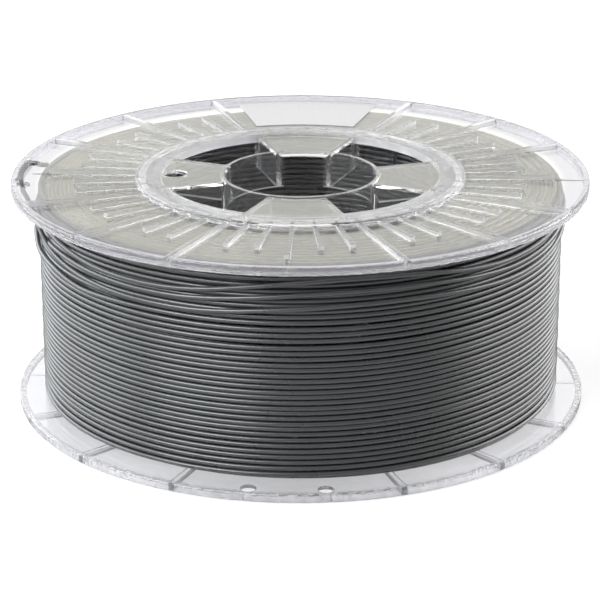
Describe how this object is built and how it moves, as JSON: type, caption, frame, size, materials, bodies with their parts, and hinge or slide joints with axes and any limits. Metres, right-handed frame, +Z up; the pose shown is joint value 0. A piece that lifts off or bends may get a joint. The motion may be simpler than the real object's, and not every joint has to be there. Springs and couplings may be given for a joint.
{
  "type": "filament spool",
  "caption": "Clear plastic spool with ribbed flanges, spoked hub and pin hole, lying on one flange and wound full of grey round filament, with a bare label.",
  "frame": {"origin": "centre of the lower flange's resting face, on the spool's axis", "axes": "+Z up along the spool's axis, -Y towards the viewer, +Y towards the label panel, -X towards the drive pin hole"},
  "size_m": [0.2, 0.2, 0.08],
  "materials": {
    "clear_flange": "clear moulded polystyrene, lightly frosted plate, polished rim and hub",
    "clear_core": "clear moulded polystyrene",
    "grey_filament": "satin extruded plastic",
    "label_white": "matt self-adhesive film, bare"
  },
  "bodies": {
    "root": {"upper_flange": "clear_flange", "lower_flange": "clear_flange", "winding_core": "clear_core", "filament_inner_layers": "grey_filament", "filament_outer_layer": "grey_filament", "label": "label_white"}
  },
  "joints": []
}
